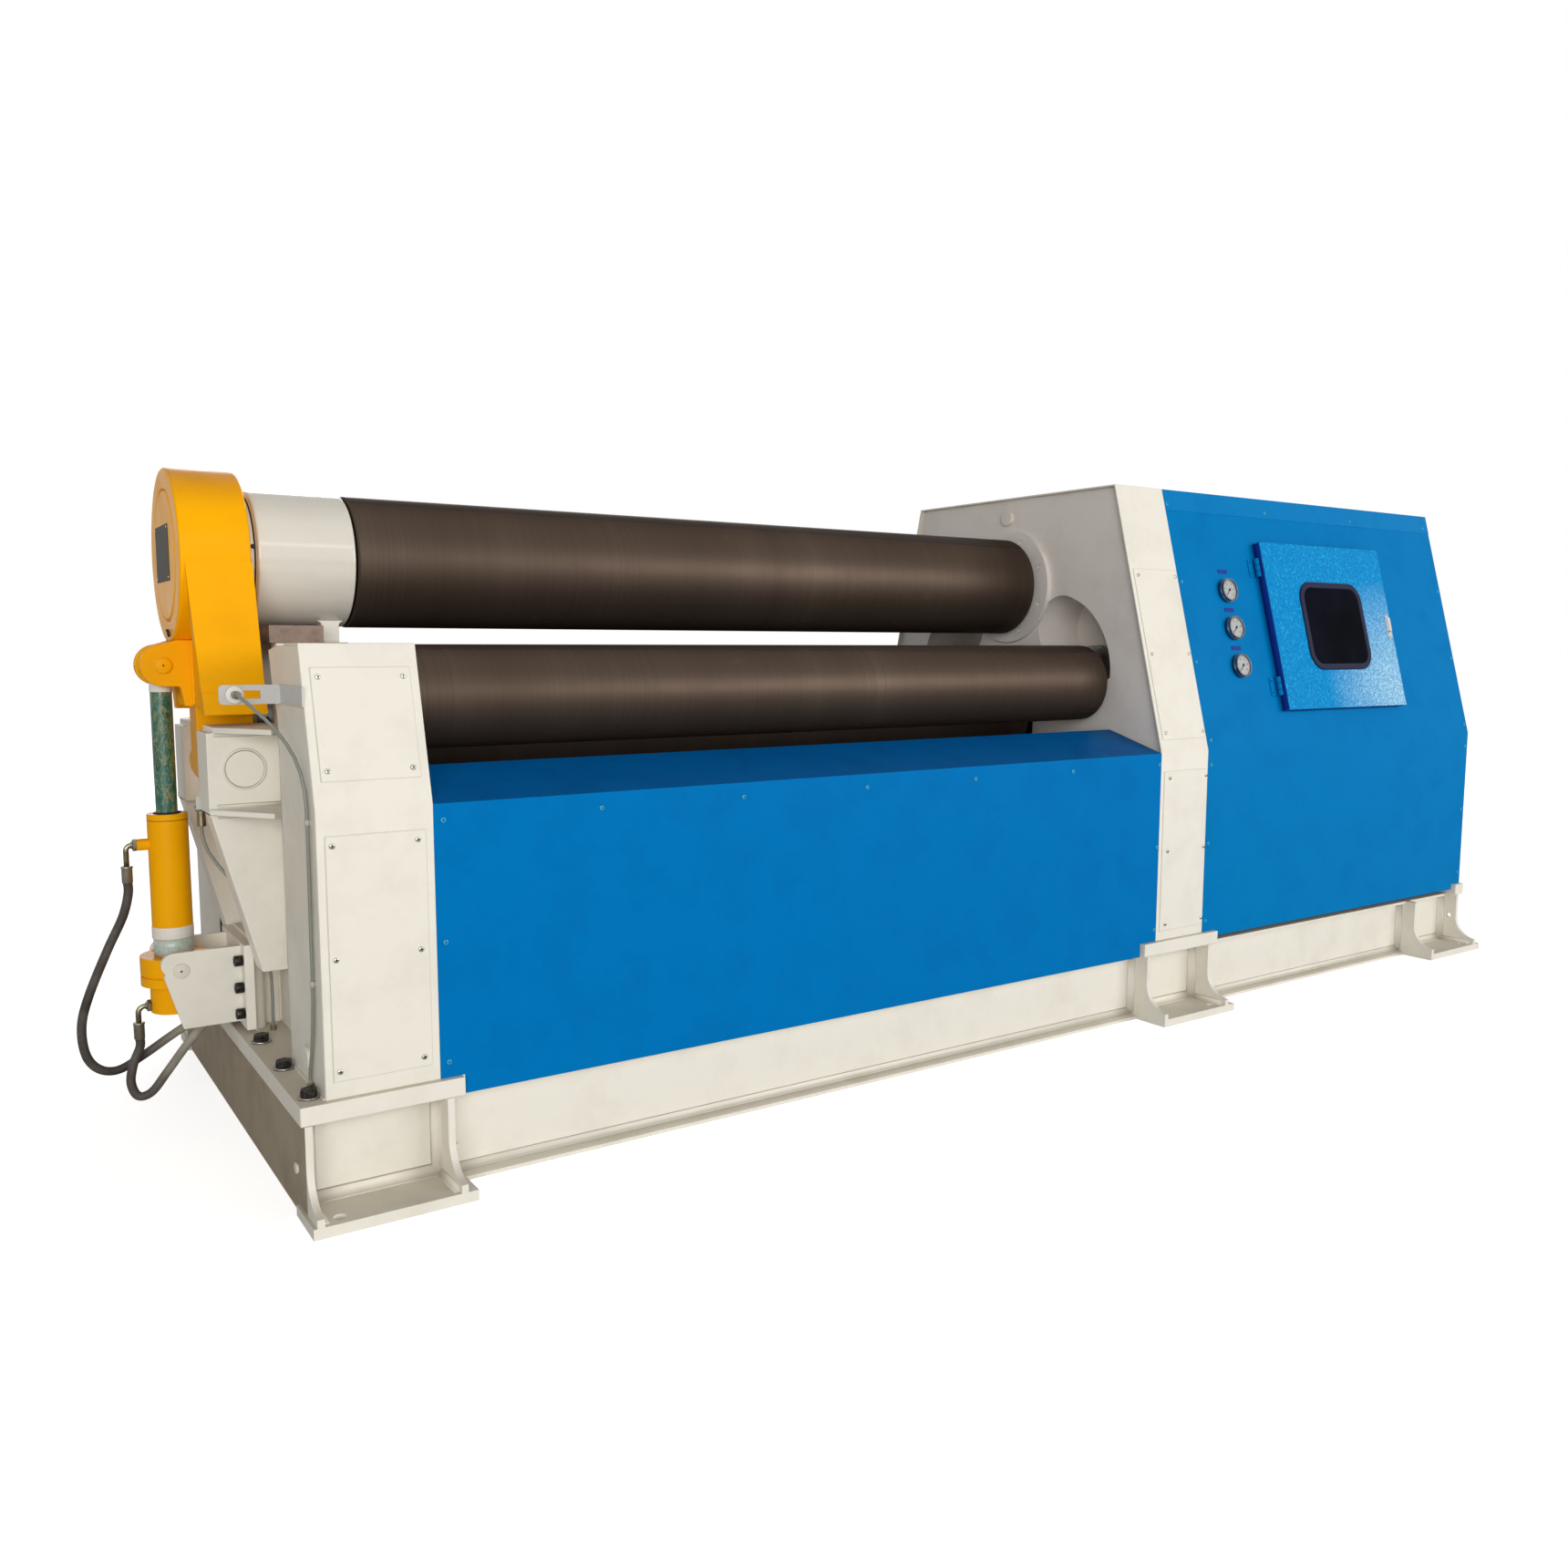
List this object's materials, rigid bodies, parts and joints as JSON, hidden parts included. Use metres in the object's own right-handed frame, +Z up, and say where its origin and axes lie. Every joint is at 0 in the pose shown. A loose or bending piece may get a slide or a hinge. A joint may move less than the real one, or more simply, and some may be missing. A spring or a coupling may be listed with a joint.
{
  "type": "plate rolling machine",
  "caption": "Hydraulic plate roll for bending sheet and plate: driven rolls between two columns on a fabricated bed, a tilting drop end and a drive cabinet.",
  "frame": {"origin": "floor level, at the centre of the four corner foundation bolts", "axes": "+X along the rolls from the drop end to the drive cabinet, +Y to the rear, +Z up"},
  "size_m": [4.3915, 1.46, 1.566],
  "materials": {
    "frame_paint": "satin cream paint",
    "guard_paint": "satin blue paint",
    "door_paint": "hammered blue paint",
    "yoke_paint": "gloss yellow-orange paint",
    "roll_steel": "dark oiled forged steel",
    "bare_steel": "machined steel",
    "plated_steel": "bright zinc plate",
    "black_oxide": "blackened steel",
    "wrapped_rod": "chrome rod in green protective film",
    "hose_rubber": "black hydraulic hose",
    "cable_sheath": "grey-black cable sheath",
    "window": "dark window in a black gasket",
    "box_paint": "light grey paint"
  },
  "bodies": {
    "machine": {"front_beam": "frame_paint", "rear_beam": "frame_paint", "left_end_beam": "frame_paint", "right_end_beam": "frame_paint", "cross_beams": "frame_paint", "front_feet": "frame_paint", "rear_feet": "frame_paint", "left_pad": "frame_paint", "middle_pad": "frame_paint", "right_pad": "frame_paint", "left_frame": "frame_paint", "left_column_cover": "frame_paint", "left_end_plates": "frame_paint", "right_frame": "bare_steel", "right_column_cover": "frame_paint", "column_access_plates": "frame_paint", "top_bearing_flange": "bare_steel", "front_guard": "guard_paint", "rear_guard": "guard_paint", "cabinet_front": "guard_paint", "cabinet_rear": "guard_paint", "cabinet_top": "guard_paint", "cabinet_end": "guard_paint", "instrument_box": "box_paint", "pressure_gauges": "plated_steel", "frame_bolts": "black_oxide", "round_plugs": "frame_paint", "roll_end_housing": "frame_paint", "housing_support": "frame_paint", "slot_cap": "bare_steel", "hinge_bracket_front": "frame_paint", "hinge_bracket_rear": "frame_paint", "hinge_pin": "frame_paint", "cylinder_bracket": "frame_paint", "bracket_post": "frame_paint", "hose_unions": "plated_steel", "sensor_bracket": "plated_steel", "sensor": "plated_steel", "sensor_cable": "cable_sheath", "barrel_port_hose": "hose_rubber", "base_port_hose": "hose_rubber"},
    "top_roll": {"top_roll": "roll_steel"},
    "bottom_carriage": {"bottom_blocks": "bare_steel"},
    "bottom_roll": {"bottom_roll": "roll_steel"},
    "front_carriage": {"front_blocks": "bare_steel"},
    "front_side_roll": {"front_side_roll": "roll_steel"},
    "rear_carriage": {"rear_blocks": "bare_steel"},
    "rear_side_roll": {"rear_side_roll": "roll_steel"},
    "drop_end": {"yoke_ring": "yoke_paint", "yoke_cover": "yoke_paint", "yoke_arms": "yoke_paint", "yoke_web": "yoke_paint", "yoke_clevis": "yoke_paint"},
    "tilt_cylinder": {"tilt_barrel": "yoke_paint", "port_fittings": "plated_steel"},
    "tilt_rod": {"tilt_rod": "wrapped_rod"},
    "instrument_door": {"door_panel": "door_paint", "door_window": "window", "door_hinges": "black_oxide", "door_latch": "plated_steel"}
  },
  "joints": [
    {"name": "top_roll_turn", "type": "hinge", "parent": "machine", "child": "top_roll", "pos_m": [0, 0, 1.281], "axis": [1, 0, 0], "continuous": true},
    {"name": "bottom_roll_lift", "type": "slide", "parent": "machine", "child": "bottom_carriage", "axis": [0, 0, 1], "range_m": [0, 0.11]},
    {"name": "bottom_roll_turn", "type": "hinge", "parent": "bottom_carriage", "child": "bottom_roll", "pos_m": [0, 0, 0.86], "axis": [1, 0, 0], "continuous": true},
    {"name": "front_roll_lift", "type": "slide", "parent": "machine", "child": "front_carriage", "axis": [0, 0.4067, 0.9135], "range_m": [0, 0.14]},
    {"name": "front_roll_turn", "type": "hinge", "parent": "front_carriage", "child": "front_side_roll", "pos_m": [0, -0.348, 0.98], "axis": [1, 0, 0], "continuous": true},
    {"name": "rear_roll_lift", "type": "slide", "parent": "machine", "child": "rear_carriage", "axis": [0, -0.4067, 0.9135], "range_m": [0, 0.14]},
    {"name": "rear_roll_turn", "type": "hinge", "parent": "rear_carriage", "child": "rear_side_roll", "pos_m": [0, 0.348, 0.98], "axis": [1, 0, 0], "continuous": true},
    {"name": "drop_end_tilt", "type": "hinge", "parent": "machine", "child": "drop_end", "pos_m": [-2.022, 0, 0.829], "axis": [0, -1, 0], "range_deg": [0, 75]},
    {"name": "cylinder_swing", "type": "hinge", "parent": "machine", "child": "tilt_cylinder", "pos_m": [-2.148, 0, 0.384], "axis": [0, -1, 0], "range_deg": [0, 17.03], "deforming": ["barrel_port_hose", "base_port_hose"]},
    {"name": "rod_travel", "type": "slide", "parent": "tilt_cylinder", "child": "tilt_rod", "axis": [0, 0, -1], "range_m": [0, 0.2651]},
    {"name": "door_swing", "type": "hinge", "parent": "machine", "child": "instrument_door", "pos_m": [0.963, -0.56233, 1.15305], "axis": [0, -0.2538, -0.9673], "range_deg": [0, 110]}
  ],
  "couplings": [
    {"joint": "cylinder_swing", "follows": "drop_end_tilt", "ratio": 0.22704},
    {"joint": "rod_travel", "follows": "drop_end_tilt", "m_per_rad": 0.20252}
  ]
}
